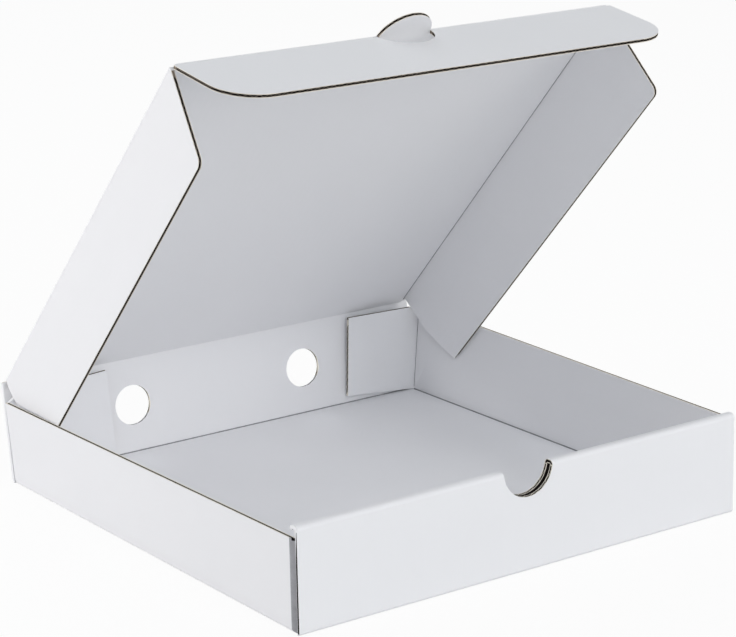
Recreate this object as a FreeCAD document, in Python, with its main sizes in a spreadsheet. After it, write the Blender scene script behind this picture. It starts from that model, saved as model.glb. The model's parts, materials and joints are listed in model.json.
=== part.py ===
import FreeCAD, Part
import math
import os
import Sketcher
from FreeCAD import Placement, Rotation, Vector

# A small roll-over pizza box, folded from one sheet of thin white corrugated board.
# Frame: millimetres, +Z up, the front wall faces -Y, the lid is hinged at the back, +Y.
# The origin is the centre of the tray's underside, midway between the outer faces.

# Sizes, one row each: name, value, what it is
SIZES = [
    ("board", 1.65, "thickness of the corrugated board"),
    ("half_board", "=board / 2", "half the board"),
    ("tray_width", 229.0, "left to right over the folds of the side walls"),
    ("half_width", "=tray_width / 2", "half the tray's width"),
    ("tray_depth", 236.0, "front to back over the folds at the bottom"),
    ("half_depth", "=tray_depth / 2", "half the tray's depth"),
    ("front_height", 45.4, "height of the double front wall, which the other walls follow"),
    ("back_rise", 1.9, "how much longer the back wall is than the front wall"),
    ("back_height", "=front_height + back_rise", "length of the back wall up to the lid crease"),
    ("back_lean", 7.2, "lean of the back wall, in degrees"),
    ("left_drop", 5.8, "how much lower the left wall is than the front wall"),
    ("left_height", "=front_height - left_drop", "length of the left wall from the underside"),
    ("left_lean", 4.4, "lean of the left wall at its rear end"),
    ("right_front_drop", 2.1, "how much lower the right wall is at its front end"),
    ("right_front_height", "=front_height - right_front_drop",
     "length of the right wall at its front end"),
    ("right_rear_drop", 0.2, "how much lower the right wall is at its rear end"),
    ("right_rear_height", "=front_height - right_rear_drop",
     "length of the right wall at its rear end"),
    ("right_lean", 5.3, "lean of the right wall at its rear end"),
    ("fold_gap", 0.15, "air between two boards that lie side by side"),
    ("wall_end", "=half_depth - board - fold_gap", "where the side walls turn into their tabs"),
    ("tab_start", "=wall_end - board", "inner face of the side walls' tabs"),
    ("rear_tab_right", 41.0, "length of the right rear tab"),
    ("rear_tab_left", 52.0, "length of the left rear tab"),
    ("rear_tab_foot", 1.9, "lower edge of the rear tabs above the underside"),
    ("rear_tab_drop", 1.1, "shoulder of the right rear tab below the front wall's top"),
    ("rear_tab_height", "=front_height - rear_tab_drop", "shoulder of the right rear tab"),
    ("rear_tab_left_drop", 3.4, "shoulder of the left rear tab below the front wall's top"),
    ("rear_tab_left_height", "=front_height - rear_tab_left_drop",
     "shoulder of the left rear tab"),
    ("tab_clear_drop", 0.55, "room between the rear tabs and the closed lid"),
    ("tab_clear", "=front_height - tab_clear_drop",
     "highest the rear tabs may stand under the closed lid"),
    ("tab_end_right", "=tab_clear - rear_tab_right * sin(right_lean * 1deg)",
     "upper free corner of the right rear tab"),
    ("tab_end_left", "=tab_clear - rear_tab_left * sin(left_lean * 1deg)",
     "upper free corner of the left rear tab"),
    ("crease_drop", 6.1, "depth of the relief cut at the rear creases"),
    ("crease_top", "=front_height - crease_drop", "bottom of the relief cut"),
    ("relief_width", 5.0, "width of the relief cut on each side of a crease"),
    ("tab_swing_right", 3.2, "how far the right tab's upper free corner leans back"),
    ("tab_swing_left", 0.6, "how far the left tab's upper free corner leans back"),
    ("front_tab", 62.0, "length of the tabs inside the front wall"),
    ("front_tab_drop", 2.0, "front tabs end this far below the side walls"),
    ("inner_face", "=tab_start - fold_gap", "outer face of the rolled-over panel"),
    ("inner_half", "=half_width - board - 0.35", "half the width of the rolled-over panel"),
    ("floor_gap", 0.12, "air between the rolled-over panel and the floor"),
    ("lock_offset", 58.0, "centre of each lock tab from the middle"),
    ("lock_width", 36.0, "width of the lock tabs"),
    ("lock_clear", 0.3, "clearance of a lock tab in its slot"),
    ("notch_radius", 12.8, "radius of the half-round finger notch"),
    ("vent_radius", 9.5, "radius of the vent holes"),
    ("vent_offset", 48.4, "centre of each vent hole from the middle"),
    ("vent_height", 22.9, "centre of the vent holes above the bottom fold"),
    ("lid_angle", 46.7, "lid above level as it stands open, in degrees"),
    ("lid_depth", 230.4, "lid crease to front crease"),
    ("crease_gap", 0.17, "air at the lid crease"),
    ("lid_start", "=half_board + crease_gap", "rear end of the lid panel from the hinge line"),
    ("lid_half", "=half_width - board - 0.35", "half the lid's width over its side flaps"),
    ("flap_depth_left", 42.8, "depth of the lid's left flap"),
    ("flap_depth_right", 44.6, "depth of the lid's right flap"),
    ("flap_rear", 8.8, "rear end of the side flaps at their crease"),
    ("flap_rear_taper", 8.7, "how much the rear ends slant"),
    ("flap_front", 2.6, "front end of the side flaps behind the front crease"),
    ("flap_front_taper", 9.5, "how much the front ends slant"),
    ("flap_corner", 9.0, "corner radius of the side flaps"),
    ("tuck_depth", 46.4, "depth of the tuck flap"),
    ("tuck_corner", 19.0, "corner radius of the tuck flap"),
    ("tuck_angle", 56.1, "tuck flap folded down from the lid, in degrees"),
    ("tuck_start", "=half_board + 0.24", "edge of the tuck flap from its crease line"),
    ("tuck_half", "=lid_half - 0.15", "half the tuck flap's width"),
    ("tongue_radius", 13.3, "radius of the half-moon tongue"),
    ("tongue_clear", 0.3, "clearance of the half-moon hole round the tongue"),
    ("nose_radius", "=half_board - 0.01", "rounding of a board end at a crease"),
    ("roll_radius", 2.0, "rounding of the folds on top of the front wall"),
    ("cut_past", 6.0, "how far cutting tools reach past the board"),
]

document = FreeCAD.newDocument("pizza_box")
sheet = document.addObject("Spreadsheet::Sheet", "sizes")


def fill_sheet():
    """Write every size once, with its name and its meaning."""
    names = [row[0] for row in SIZES]
    for index, (name, value, meaning) in enumerate(SIZES, start=1):
        sheet.set("A%d" % index, name)
        sheet.set("B%d" % index, str(value))
        sheet.set("C%d" % index, meaning)
        sheet.setAlias("B%d" % index, name)
    document.recompute()
    return names


NAMES = sorted(fill_sheet(), key=len, reverse=True)


def bound(text):
    """Turn a formula of size names into one that reads the sheet."""
    word = ""
    result = ""
    for letter in text + " ":
        if letter.isalnum() or letter == "_":
            word += letter
            continue
        result += "sizes." + word if word in NAMES else word
        result += letter
        word = ""
    return result.strip()


def value_of(text):
    """Number that a formula of size names stands for now."""
    result = sheet.evalExpression(bound(text))
    return float(getattr(result, "Value", result))


def new_body(label):
    body = document.addObject("PartDesign::Body", label)
    body.Label = label
    return body


def new_sketch(body, name, plane, base=("0", "0", "0"), turn=None):
    """Sketch on one of the body's own planes, moved and tilted about its x axis or y axis."""
    sketch = body.newObject("Sketcher::SketchObject", name)
    role = plane + "_Plane"
    support = [item for item in body.Origin.OriginFeatures if item.Role == role][0]
    sketch.AttachmentSupport = [(support, "")]
    sketch.MapMode = "FlatFace"
    if turn:
        axis, angle = turn
        sketch.AttachmentOffset = Placement(Vector(0, 0, 0), Rotation(axis, value_of(angle)))
        sketch.setExpression("AttachmentOffset.Rotation.Angle", bound(angle))
    for letter, formula in zip("xyz", base):
        if formula != "0":
            sketch.setExpression("AttachmentOffset.Base." + letter, bound(formula))
    return sketch


def pin_point(sketch, geometry, end, x_formula, y_formula):
    """Hold one point of a sketch at a named place."""
    for kind, formula in (("DistanceX", x_formula), ("DistanceY", y_formula)):
        number = sketch.addConstraint(
            Sketcher.Constraint(kind, -1, 1, geometry, end, value_of(formula)))
        sketch.setExpression("Constraints[%d]" % number, bound(formula))


def arc_between(start, end, radius, turn):
    """Arc from start to end, turning left for 1 and right for -1."""
    middle = (start + end) * 0.5
    chord = end - start
    rise = math.sqrt(max(radius ** 2 - (chord.Length / 2) ** 2, 0.0))
    normal = Vector(-chord.y, chord.x, 0).normalize() * turn
    centre = middle + normal * rise
    first, last = (start, end) if turn > 0 else (end, start)
    angles = [math.atan2(point.y - centre.y, point.x - centre.x) for point in (first, last)]
    circle = Part.Circle(centre, Vector(0, 0, 1), radius)
    return Part.ArcOfCircle(circle, angles[0], angles[1])


def outline(sketch, points):
    """Closed outline; a point with a third entry starts an arc (radius, turn)."""
    places = [Vector(value_of(point[0]), value_of(point[1]), 0) for point in points]
    count = len(points)
    first = len(sketch.Geometry)
    starts = []
    ends = []
    for index, point in enumerate(points):
        start = places[index]
        end = places[(index + 1) % count]
        if len(point) == 3:
            radius, turn = point[2]
            sketch.addGeometry(arc_between(start, end, value_of(radius), turn))
            starts.append(1 if turn > 0 else 2)
            ends.append(2 if turn > 0 else 1)
        else:
            sketch.addGeometry(Part.LineSegment(start, end))
            starts.append(1)
            ends.append(2)
    for index in range(count):
        following = (index + 1) % count
        sketch.addConstraint(Sketcher.Constraint(
            "Coincident", first + index, ends[index], first + following, starts[following]))
    for index, point in enumerate(points):
        pin_point(sketch, first + index, starts[index], point[0], point[1])
        if len(point) == 3:
            number = sketch.addConstraint(
                Sketcher.Constraint("Radius", first + index, value_of(point[2][0])))
            sketch.setExpression("Constraints[%d]" % number, bound(point[2][0]))


def ring(sketch, x_formula, y_formula, radius):
    """Circle at a named place."""
    centre = Vector(value_of(x_formula), value_of(y_formula), 0)
    number = sketch.addGeometry(Part.Circle(centre, Vector(0, 0, 1), value_of(radius)))
    pin_point(sketch, number, 3, x_formula, y_formula)
    held = sketch.addConstraint(Sketcher.Constraint("Radius", number, value_of(radius)))
    sketch.setExpression("Constraints[%d]" % held, bound(radius))


def rectangle(sketch, x_low, x_high, y_low, y_high):
    outline(sketch, [(x_low, y_low), (x_high, y_low), (x_high, y_high), (x_low, y_high)])


def pad(body, sketch, name, length, middle=False, backwards=False):
    feature = body.newObject("PartDesign::Pad", name)
    feature.Profile = sketch
    feature.setExpression("Length", bound(length))
    if middle:
        feature.Midplane = True
    if backwards:
        feature.Reversed = True
    document.recompute()
    return feature


def pocket(body, sketch, name, length, middle=False, backwards=False):
    feature = body.newObject("PartDesign::Pocket", name)
    feature.Profile = sketch
    feature.setExpression("Length", bound(length))
    if middle:
        feature.Midplane = True
    if backwards:
        feature.Reversed = True
    document.recompute()
    return feature


def loft(body, sections, name):
    """Panel that turns evenly from one section to the next."""
    feature = body.newObject("PartDesign::AdditiveLoft", name)
    feature.Profile = sections[0]
    feature.Sections = sections[1:]
    feature.Ruled = True
    document.recompute()
    return feature


def edges_where(shape, direction, test):
    """Names of the straight edges along a direction whose middle passes a test."""
    found = []
    for number, edge in enumerate(shape.Edges, start=1):
        if len(edge.Vertexes) != 2:
            continue
        along = edge.Vertexes[1].Point - edge.Vertexes[0].Point
        if along.Length < 0.5 or abs(along.normalize() * direction) < 0.9999:
            continue
        middle = edge.valueAt((edge.FirstParameter + edge.LastParameter) / 2)
        if test(middle):
            found.append("Edge%d" % number)
    return found


def round_off(body, base, name, radius, direction, test):
    """Round the edges that pass the test."""
    feature = body.newObject("PartDesign::Fillet", name)
    feature.Base = (base, edges_where(base.Shape, direction, test))
    feature.setExpression("Radius", bound(radius))
    document.recompute()
    return feature


def near(first, second):
    return abs(first - second) < 0.02


# Walls of the tray

def wall_section(body, name, place, side, height, lean):
    """Section of a side wall with its bottom fold; side is -1 on the left and 1 on the right."""
    sketch = new_sketch(body, name, "XZ", base=("0", "0", place))
    sign = "-1" if side < 0 else "1"
    centre = "(half_width - board)"
    rise = "(%s - board)" % height
    outer = "(%s + board * cos(%s * 1deg))" % (centre, lean)
    foot = "(board - board * sin(%s * 1deg))" % lean
    points = [
        ("%s * %s" % (sign, centre), "0", ("board", side)),
        ("%s * %s" % (sign, outer), foot),
        ("%s * (%s + %s * sin(%s * 1deg))" % (sign, outer, rise, lean),
         "%s + %s * cos(%s * 1deg)" % (foot, rise, lean)),
        ("%s * (%s + %s * sin(%s * 1deg))" % (sign, centre, rise, lean),
         "board + %s * cos(%s * 1deg)" % (rise, lean)),
        ("%s * %s" % (sign, centre), "board"),
    ]
    outline(sketch, points)
    return sketch


def side_wall(body, label, side, front, rear, lean):
    """Side wall, square at the front and leaning out at the rear."""
    ahead = wall_section(body, label + "_front", "tab_start", side, front, "0")
    behind = wall_section(body, label + "_rear", "-tab_start", side, rear, lean)
    return loft(body, [ahead, behind], label)


def corner_fold(body, label, side, end, low, high, lean):
    """Quarter-round fold between a side wall and its tab; end is 1 at the rear."""
    turn = (Vector(0, 1, 0), "%d * %s * 1deg" % (side, lean)) if lean else None
    base = ("%d * (half_width - board)" % side, "0", "board + (%s) - board" % low)
    if lean:
        shift = "((%s) - board)" % low
        base = ("%d * (half_width - board + %s * sin(%s * 1deg))" % (side, shift, lean),
                "0", "board + %s * cos(%s * 1deg)" % (shift, lean))
    sketch = new_sketch(body, label + "_sketch", "XY", base=base, turn=turn)
    outline(sketch, [
        ("0", "%d * tab_start" % end),
        ("%d * board" % side, "%d * tab_start" % end, ("board", side * end)),
        ("0", "%d * wall_end" % end),
    ])
    return pad(body, sketch, label, "(%s) - (%s)" % (high, low))


def rear_tab(body, label, side, length, high, end_high, lean, swing):
    """Tab of a side wall inside the back wall, low at its crease and turned with the wall."""
    sections = []
    shoulder = "%s * relief_width / %s" % (swing, length)
    for step, away, top, back in (("_crease", "0", "crease_top", "0"),
                                  ("_shoulder", "relief_width", high, shoulder),
                                  ("_end", length, end_high, swing)):
        x_place = "%d * (half_width - board - %s * cos(%s * 1deg))" % (side, away, lean)
        z_place = "%s * sin(%s * 1deg)" % (away, lean)
        sketch = new_sketch(body, label + step, "YZ", base=("0", z_place, x_place),
                            turn=(Vector(1, 0, 0), "%d * %s * 1deg" % (side, lean)))
        outline(sketch, [
            ("tab_start", "rear_tab_foot"),
            ("wall_end", "rear_tab_foot"),
            ("wall_end + " + back, top),
            ("tab_start + " + back, top),
        ])
        sections.append(sketch)
    return loft(body, sections, label)


def back_panel(body):
    """Back wall with its bottom fold and the round end that the lid turns on."""
    sketch = new_sketch(body, "back_wall_sketch", "YZ")
    centre = "(half_depth - board)"
    outer = "(%s + board * cos(back_lean * 1deg))" % centre
    foot = "(board - board * sin(back_lean * 1deg))"
    rise = "(back_height - board)"
    outline(sketch, [
        (centre, "0", ("board", 1)),
        (outer, foot),
        ("%s + %s * sin(back_lean * 1deg)" % (outer, rise),
         "%s + %s * cos(back_lean * 1deg)" % (foot, rise)),
        ("%s + %s * sin(back_lean * 1deg)" % (centre, rise),
         "board + %s * cos(back_lean * 1deg)" % rise),
        (centre, "board"),
    ])
    wall = pad(body, sketch, "back_wall", "tray_width", middle=True)
    top = value_of("back_height") * math.cos(math.radians(value_of("back_lean"))) - 2.5
    return round_off(body, wall, "hinge_end", "nose_radius", Vector(1, 0, 0),
                     lambda point: point.z > top)


def front_panels(body):
    """Outer front wall, its flat top and the panel rolled over inside it."""
    sketch = new_sketch(body, "front_wall_sketch", "YZ")
    outline(sketch, [
        ("-(half_depth - board)", "0"),
        ("-(half_depth - board)", "board"),
        ("-(half_depth - board)", "front_height - board"),
        ("-inner_face", "front_height - board"),
        ("-inner_face", "front_height - roll_radius"),
        ("-(inner_face - board)", "front_height - roll_radius", ("roll_radius", 1)),
        ("-(inner_face - board + roll_radius)", "front_height"),
        ("-(half_depth - roll_radius)", "front_height", ("roll_radius", 1)),
        ("-half_depth", "front_height - roll_radius"),
        ("-half_depth", "board", ("board", 1)),
    ])
    pad(body, sketch, "front_wall", "tray_width", middle=True)
    inner = new_sketch(body, "inner_panel_sketch", "XZ", base=("0", "0", "inner_face - board"))
    low = "board + floor_gap"
    high = "front_height - board"
    rectangle(inner, "-inner_half", "inner_half", low, high)
    wall = pad(body, inner, "inner_panel", "board")
    for side, label in ((-1, "left"), (1, "right")):
        lock = new_sketch(body, label + "_lock_sketch", "XZ", base=("0", "0", "inner_face - board"))
        middle = "%d * lock_offset" % side
        rectangle(lock, middle + " - lock_width / 2", middle + " + lock_width / 2",
                  "floor_gap", "board + 2 * floor_gap")
        wall = pad(body, lock, label + "_lock_tab", "board")
    return wall


def lock_slots(body):
    """Slots in the floor that take the lock tabs."""
    for side, label in ((-1, "left"), (1, "right")):
        slot = new_sketch(body, label + "_slot_sketch", "XY")
        middle = "%d * lock_offset" % side
        rectangle(slot, middle + " - lock_width / 2 - lock_clear",
                  middle + " + lock_width / 2 + lock_clear",
                  "-(inner_face + lock_clear / 2)", "-(inner_face - board - lock_clear)")
        pocket(body, slot, label + "_slot", "board", backwards=True)


def front_tab(body, label, side, height):
    """Tab of a side wall between the two layers of the front wall."""
    sketch = new_sketch(body, label + "_sketch", "XZ", base=("0", "0", "tab_start"))
    inner = "half_width - board"
    near_x = "%d * (%s)" % (side, inner)
    far_x = "%d * (%s - front_tab)" % (side, inner)
    far_slant = "%d * (%s - front_tab + 4)" % (side, inner)
    top = "%s - front_tab_drop" % height
    outline(sketch, [
        (near_x, "board + floor_gap"),
        (near_x, top),
        (far_slant, top),
        (far_x, top + " - 6"),
        (far_x, "board + floor_gap + 6"),
        (far_slant, "board + floor_gap"),
    ])
    return pad(body, sketch, label, "board")


def cut_openings(body):
    """Half-round notch, vent holes and the relief cuts at the rear creases."""
    notch = new_sketch(body, "notch_sketch", "XZ", base=("0", "0", "half_depth + cut_past"))
    ring(notch, "0", "front_height", "notch_radius")
    pocket(body, notch, "finger_notch", "3 * board + 3 * cut_past", backwards=False)
    for side, label in ((-1, "left"), (1, "right")):
        vent = new_sketch(body, label + "_vent_sketch", "XZ",
                          base=("0", "0", "-(half_depth + board + cut_past)"),
                          turn=(Vector(1, 0, 0), "-back_lean * 1deg"))
        ring(vent, "%d * vent_offset" % side, "vent_height", "vent_radius")
        pocket(body, vent, label + "_vent", "4 * cut_past", backwards=True)


def relief_cut(body):
    """Slanted top corner of the right wall at its rear crease."""
    sketch = new_sketch(body, "relief_sketch", "YZ", base=("0", "0", "half_width - 2 * board"))
    outline(sketch, [
        ("tab_start - relief_width", "right_rear_height + 3"),
        ("tab_start - relief_width", "right_rear_height - 0.2"),
        ("tab_start", "crease_top"),
        ("tab_start + 0.001", "right_rear_height + 3"),
    ])
    pocket(body, sketch, "wall_relief", "5 * board", backwards=True)


def build_tray():
    body = new_body("tray")
    floor = new_sketch(body, "floor_sketch", "XY")
    rectangle(floor, "-(half_width - board)", "half_width - board",
              "-(half_depth - board)", "half_depth - board")
    pad(body, floor, "floor", "board")
    back_panel(body)
    front_panels(body)
    lock_slots(body)
    side_wall(body, "left_wall", -1, "left_height", "left_height", "left_lean")
    side_wall(body, "right_wall", 1, "right_front_height", "right_rear_height", "right_lean")
    foot = "board + floor_gap"
    corner_fold(body, "left_front_fold", -1, -1, foot, "left_height - front_tab_drop", "")
    corner_fold(body, "right_front_fold", 1, -1, foot, "right_front_height - front_tab_drop", "")
    corner_fold(body, "left_rear_fold", -1, 1, foot, "crease_top", "left_lean")
    corner_fold(body, "right_rear_fold", 1, 1, foot, "crease_top", "right_lean")
    front_tab(body, "left_front_tab", -1, "left_height")
    front_tab(body, "right_front_tab", 1, "right_front_height")
    rear_tab(body, "left_rear_tab", -1, "rear_tab_left", "rear_tab_left_height",
             "tab_end_left", "left_lean", "tab_swing_left")
    rear_tab(body, "right_rear_tab", 1, "rear_tab_right", "rear_tab_height",
             "tab_end_right", "right_lean", "tab_swing_right")
    relief_cut(body)
    cut_openings(body)
    return body


# Lid

def side_flap(body, label, side, depth):
    """Side flap of the lid with its fold, slanted ends and one round corner."""
    sketch = new_sketch(body, label + "_sketch", "XZ", base=("0", "0", "flap_rear"))
    fold = "%d * (lid_half - board)" % side
    outer = "%d * lid_half" % side
    low = "half_board - %s" % depth
    outline(sketch, [
        (fold, "half_board", ("board", -side)),
        (outer, "-half_board"),
        (outer, low),
        (fold, low),
        (fold, "-half_board"),
    ])
    pad(body, sketch, label, "lid_depth - flap_rear - flap_front")
    ends = new_sketch(body, label + "_ends_sketch", "YZ", base=("0", "0", outer))
    rear = "-flap_rear"
    outline(ends, [
        (rear + " + 1", "-half_board"),
        (rear, "-half_board"),
        (rear + " - flap_rear_taper", low),
        (rear + " - flap_rear_taper", low + " - 1"),
        (rear + " + 1", low + " - 1"),
    ])
    front = "-(lid_depth - flap_front)"
    outline(ends, [
        (front + " - 1", "-half_board"),
        (front + " - 1", low + " - 1"),
        (front + " + flap_front_taper", low + " - 1"),
        (front + " + flap_front_taper", low),
        (front, "-half_board"),
    ])
    flap = pocket(body, ends, label + "_ends", "4 * board", middle=True)
    edge = value_of(low)
    return round_off(body, flap, label + "_corner", "flap_corner", Vector(1, 0, 0),
                     lambda point: near(point.z, edge) and point.y < -100
                     and point.x * side > 0)


def build_lid():
    body = new_body("lid")
    panel = new_sketch(body, "lid_sketch", "XY", base=("0", "0", "-half_board"))
    rectangle(panel, "-(lid_half - board)", "lid_half - board",
              "-lid_depth - nose_radius", "-lid_start")
    top = pad(body, panel, "lid_panel", "board")
    front = value_of("-lid_depth - nose_radius")
    round_off(body, top, "front_crease_end", "nose_radius", Vector(1, 0, 0),
              lambda point: near(point.y, front))
    side_flap(body, "left_flap", -1, "flap_depth_left")
    side_flap(body, "right_flap", 1, "flap_depth_right")
    moon = new_sketch(body, "tongue_sketch", "XY", base=("0", "0", "-half_board"))
    ring(moon, "0", "-lid_depth", "tongue_radius")
    pad(body, moon, "tongue", "board")
    return body


# Tuck flap

def build_tuck_flap():
    body = new_body("tuck_flap")
    panel = new_sketch(body, "tuck_sketch", "XY", base=("0", "0", "-half_board"))
    rectangle(panel, "-tuck_half", "tuck_half", "half_board - tuck_depth", "-tuck_start")
    flap = pad(body, panel, "tuck_panel", "board")
    low = value_of("half_board - tuck_depth")
    round_off(body, flap, "tuck_corners", "tuck_corner", Vector(0, 0, 1),
              lambda point: near(point.y, low))
    hole = new_sketch(body, "hole_sketch", "XY", base=("0", "0", "-half_board"))
    ring(hole, "0", "0", "tongue_radius + tongue_clear")
    pocket(body, hole, "half_moon_hole", "board", backwards=True)
    return body


def place_about_hinge(body, along, angle):
    """Stand a flat-built part in the open box; along is its distance from the lid crease."""
    reach = "(back_height - half_board - board)"
    hinge_y = ("(half_depth - board + half_board * cos(back_lean * 1deg)"
               " + %s * sin(back_lean * 1deg))" % reach)
    hinge_z = ("(board - half_board * sin(back_lean * 1deg)"
               " + %s * cos(back_lean * 1deg))" % reach)
    body.Placement = Placement(Vector(0, 0, 0), Rotation(Vector(1, 0, 0), value_of(angle)))
    body.setExpression("Placement.Rotation.Angle", bound("(%s) * 1deg" % angle))
    body.setExpression("Placement.Base.y",
                       bound("%s - (%s) * cos(lid_angle * 1deg)" % (hinge_y, along)))
    body.setExpression("Placement.Base.z",
                       bound("%s + (%s) * sin(lid_angle * 1deg)" % (hinge_z, along)))


def check_all():
    """Stop if a feature failed or a shape is not one valid closed solid."""
    document.recompute()
    wrong = []
    for item in document.Objects:
        state = [word for word in item.State if word in ("Invalid", "Error")]
        if state:
            wrong.append("%s %s" % (item.Label, state))
        shape = getattr(item, "Shape", None)
        if shape is not None and not shape.isNull() and not shape.isValid():
            wrong.append("%s shape is not valid" % item.Label)
    if wrong:
        raise RuntimeError("; ".join(wrong))


def write_parts(bodies):
    os.makedirs("parts", exist_ok=True)
    for body in bodies:
        solids = body.Shape.Solids
        if len(solids) != 1:
            raise RuntimeError("%s has %d solids" % (body.Label, len(solids)))
        body.Shape.exportStep("parts/%s.step" % body.Label)
        box = body.Shape.BoundBox
        print("%s volume %.1f mm3, box %.1f..%.1f %.1f..%.1f %.1f..%.1f" % (
            body.Label, body.Shape.Volume, box.XMin, box.XMax, box.YMin, box.YMax,
            box.ZMin, box.ZMax))


tray = build_tray()
lid = build_lid()
tuck_flap = build_tuck_flap()
place_about_hinge(lid, "0", "-lid_angle")
place_about_hinge(tuck_flap, "lid_depth", "tuck_angle - lid_angle")
check_all()
write_parts([tray, lid, tuck_flap])
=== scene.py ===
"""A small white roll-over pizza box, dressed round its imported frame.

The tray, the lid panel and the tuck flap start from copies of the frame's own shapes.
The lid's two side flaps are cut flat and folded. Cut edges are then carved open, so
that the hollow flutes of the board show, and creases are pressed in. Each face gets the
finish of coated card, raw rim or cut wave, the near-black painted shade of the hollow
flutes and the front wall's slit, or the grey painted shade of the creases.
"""

from __future__ import annotations

import json
import logging
import math
from dataclasses import dataclass, field
from enum import Enum
from typing import Callable

import bpy
from mathutils import Matrix, Vector

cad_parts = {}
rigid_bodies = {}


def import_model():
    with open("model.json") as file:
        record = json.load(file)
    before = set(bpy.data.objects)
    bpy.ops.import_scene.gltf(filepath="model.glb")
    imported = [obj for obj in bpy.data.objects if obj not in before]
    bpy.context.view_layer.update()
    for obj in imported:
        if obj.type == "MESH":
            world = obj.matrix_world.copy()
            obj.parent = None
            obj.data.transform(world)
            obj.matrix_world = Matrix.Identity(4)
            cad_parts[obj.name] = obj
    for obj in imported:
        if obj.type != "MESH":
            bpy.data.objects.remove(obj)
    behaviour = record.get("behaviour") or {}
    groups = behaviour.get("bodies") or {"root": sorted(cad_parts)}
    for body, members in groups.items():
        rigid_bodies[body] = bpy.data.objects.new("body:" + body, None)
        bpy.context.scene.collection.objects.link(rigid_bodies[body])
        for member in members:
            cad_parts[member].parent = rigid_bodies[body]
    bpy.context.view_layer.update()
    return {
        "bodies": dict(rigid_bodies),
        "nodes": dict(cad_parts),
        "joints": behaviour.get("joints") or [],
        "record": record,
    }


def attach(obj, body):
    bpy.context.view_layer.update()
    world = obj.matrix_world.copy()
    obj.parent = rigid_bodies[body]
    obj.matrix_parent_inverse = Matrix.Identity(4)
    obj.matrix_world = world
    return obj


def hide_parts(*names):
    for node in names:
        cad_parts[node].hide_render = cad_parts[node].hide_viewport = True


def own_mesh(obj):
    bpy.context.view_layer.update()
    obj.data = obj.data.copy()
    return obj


LOG = logging.getLogger("pizza_box")
MM = 0.001
MERGE = 1e-6
FLAT_ANGLE = math.radians(0.2)
SMOOTH_ANGLE = math.radians(28)
FACE_WEIGHT = 80
OPENED_DEPTH = 1.1 * MM
TROUGH_SHIFT = 0.25
ROLL_STEPS = 6
Colour = tuple[float, float, float, float]
FaceTest = Callable[[Vector, Vector], bool]
Warp = Callable[[Vector], Vector]


# ---------------------------------------------------------------- shader maths


class Signal:
    """One output socket that can be used in ordinary arithmetic."""

    def __init__(self, graph: "Graph", socket: bpy.types.NodeSocket) -> None:
        """Keep the socket and the graph that its maths nodes go into."""
        self.graph = graph
        self.socket = socket

    def __add__(self, other: "Signal | float") -> "Signal":
        """Sum of two values."""
        return self.graph.maths("ADD", self, other)

    __radd__ = __add__

    def __sub__(self, other: "Signal | float") -> "Signal":
        """This value less another."""
        return self.graph.maths("SUBTRACT", self, other)

    def __rsub__(self, other: "Signal | float") -> "Signal":
        """Another value less this one."""
        return self.graph.maths("SUBTRACT", other, self)

    def __mul__(self, other: "Signal | float") -> "Signal":
        """Product of two values."""
        return self.graph.maths("MULTIPLY", self, other)

    __rmul__ = __mul__


class Graph:
    """The node tree of one material."""

    def __init__(self, name: str) -> None:
        """Start an empty material.

        Args:
            name: the material's name.
        """
        self.material = bpy.data.materials.new(name)
        self.material.use_nodes = True
        self.tree = self.material.node_tree
        self.tree.nodes.clear()

    def node(self, kind: str, settings: dict | None = None, inputs: dict | None = None,
             output: int | str = 0) -> Signal:
        """Add any node.

        Args:
            kind: the node's type.
            settings: its own settings, which are set before its sockets.
            inputs: values or links, by the socket's name or number.
            output: the output that is returned.

        Returns:
            The chosen output as a signal, or the first input of an output node.
        """
        made = self.tree.nodes.new(kind)
        for key, value in (settings or {}).items():
            setattr(made, key, value)
        for key, value in (inputs or {}).items():
            self.feed(made.inputs[key], value)
        return Signal(self, made.outputs[output] if made.outputs else made.inputs[0])

    def feed(self, socket: bpy.types.NodeSocket, value: object) -> None:
        """Link a signal to a socket, or set the socket's own value."""
        if isinstance(value, Signal):
            self.tree.links.new(value.socket, socket)
        else:
            socket.default_value = value

    def maths(self, operation: str, *operands: "Signal | float") -> Signal:
        """One Math node."""
        return self.node("ShaderNodeMath", {"operation": operation},
                         dict(enumerate(operands)))

    def place(self) -> Signal:
        """Point on the object, in metres in the row frame."""
        return self.node("ShaderNodeTexCoord", output="Object")

    def along(self, direction: tuple[float, float, float]) -> Signal:
        """Distance of the point along a direction."""
        return self.node("ShaderNodeVectorMath", {"operation": "DOT_PRODUCT"},
                         {0: self.place(), 1: direction}, "Value")

    def noise(self, scale: float, detail: float, roughness: float = 0.5) -> Signal:
        """Noise from 0 to 1 with that many cells a metre."""
        return self.node("ShaderNodeTexNoise", inputs={
            "Vector": self.place(), "Scale": scale, "Detail": detail,
            "Roughness": roughness}, output="Fac")

    def blend(self, share: "Signal | float", first: object, second: object) -> Signal:
        """Colour between two colours."""
        return self.node("ShaderNodeMix", {"data_type": "RGBA"},
                         {"Factor": share, 6: first, 7: second}, 2)

    def bump(self, height: Signal, distance: float) -> Signal:
        """Normal that a height gives, whose full step is a distance in metres."""
        return self.node("ShaderNodeBump", inputs={
            "Height": height, "Distance": distance, "Strength": 1.0})

    def surface(self, shader: Signal) -> bpy.types.Material:
        """Send a shader to the output and return the finished material."""
        self.node("ShaderNodeOutputMaterial", inputs={"Surface": shader})
        return self.material


# -------------------------------------------------------------------- finishes


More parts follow.
